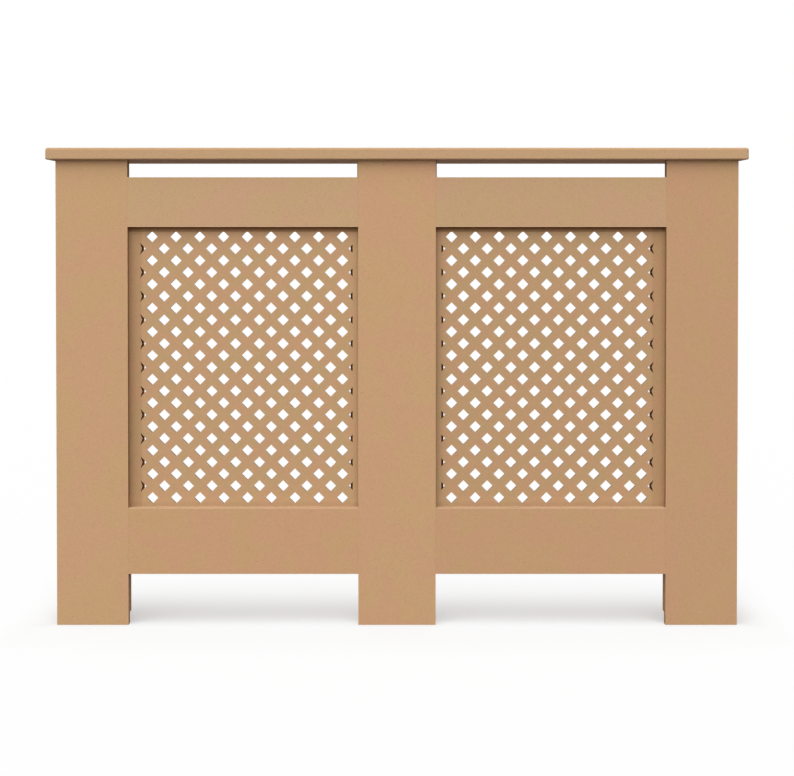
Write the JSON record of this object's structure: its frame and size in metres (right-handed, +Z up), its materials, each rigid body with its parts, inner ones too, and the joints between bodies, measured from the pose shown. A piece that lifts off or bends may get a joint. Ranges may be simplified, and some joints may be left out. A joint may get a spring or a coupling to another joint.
{
  "type": "radiator cover cabinet",
  "caption": "Long flat-topped cabinet that stands over a wall radiator, with lattice screens in a framed front on short legs, plain side panels, air slots under the shelf and an open back.",
  "frame": {"origin": "on the floor under the middle of the shelf, which is the middle of the bounding box's underside", "axes": "+X to the right as seen from the room, along the shelf; +Y from the room towards the wall; +Z up"},
  "size_m": [1.2, 0.19, 0.82],
  "materials": {
    "board": "bare medium-density board, sanded",
    "lattice_sheet": "bare thin board, cut",
    "dark_board": "dark brown hardboard",
    "beech": "bare beech",
    "zinc": "die-cast zinc",
    "steel": "zinc-plated steel"
  },
  "bodies": {
    "cabinet": {"bottom_rail_left": "board", "bottom_rail_liner_left": "board", "bottom_rail_liner_right": "board", "bottom_rail_right": "board", "bottom_retaining_strip_left": "dark_board", "bottom_retaining_strip_right": "dark_board", "cam_bolts": "steel", "centre_liner": "board", "centre_stile": "board", "dowels": "beech", "inner_retaining_strip_left": "dark_board", "inner_retaining_strip_right": "dark_board", "joint_tongues": "beech", "lattice_panel_left": "lattice_sheet", "lattice_panel_right": "lattice_sheet", "outer_liner_left": "board", "outer_liner_right": "board", "outer_retaining_strip_left": "dark_board", "outer_retaining_strip_right": "dark_board", "outer_stile_left": "board", "outer_stile_right": "board", "side_panel_left": "board", "side_panel_right": "board", "top_rail_left": "board", "top_rail_liner_left": "board", "top_rail_liner_right": "board", "top_rail_right": "board", "top_retaining_strip_left": "dark_board", "top_retaining_strip_right": "dark_board", "top_shelf": "board", "wall_bracket_left": "steel", "wall_bracket_right": "steel"},
    "cam_front_low_right": {"cam_front_low_right": "zinc"},
    "cam_front_low_left": {"cam_front_low_left": "zinc"},
    "cam_front_high_right": {"cam_front_high_right": "zinc"},
    "cam_front_high_left": {"cam_front_high_left": "zinc"},
    "cam_shelf_right": {"cam_shelf_right": "zinc"},
    "cam_shelf_left": {"cam_shelf_left": "zinc"}
  },
  "joints": [
    {"name": "cam_front_low_right_turn", "type": "hinge", "parent": "cabinet", "child": "cam_front_low_right", "pos_m": [0.5766, -0.031, 0.12], "axis": [-1, 0, 0], "range_deg": [0, 180]},
    {"name": "cam_front_low_left_turn", "type": "hinge", "parent": "cabinet", "child": "cam_front_low_left", "pos_m": [-0.5766, -0.031, 0.12], "axis": [1, 0, 0], "range_deg": [0, 180]},
    {"name": "cam_front_high_right_turn", "type": "hinge", "parent": "cabinet", "child": "cam_front_high_right", "pos_m": [0.5766, -0.031, 0.64], "axis": [-1, 0, 0], "range_deg": [0, 180]},
    {"name": "cam_front_high_left_turn", "type": "hinge", "parent": "cabinet", "child": "cam_front_high_left", "pos_m": [-0.5766, -0.031, 0.64], "axis": [1, 0, 0], "range_deg": [0, 180]},
    {"name": "cam_shelf_right_turn", "type": "hinge", "parent": "cabinet", "child": "cam_shelf_right", "pos_m": [0.5766, 0.02, 0.766], "axis": [-1, 0, 0], "range_deg": [0, 180]},
    {"name": "cam_shelf_left_turn", "type": "hinge", "parent": "cabinet", "child": "cam_shelf_left", "pos_m": [-0.5766, 0.02, 0.766], "axis": [1, 0, 0], "range_deg": [0, 180]}
  ]
}
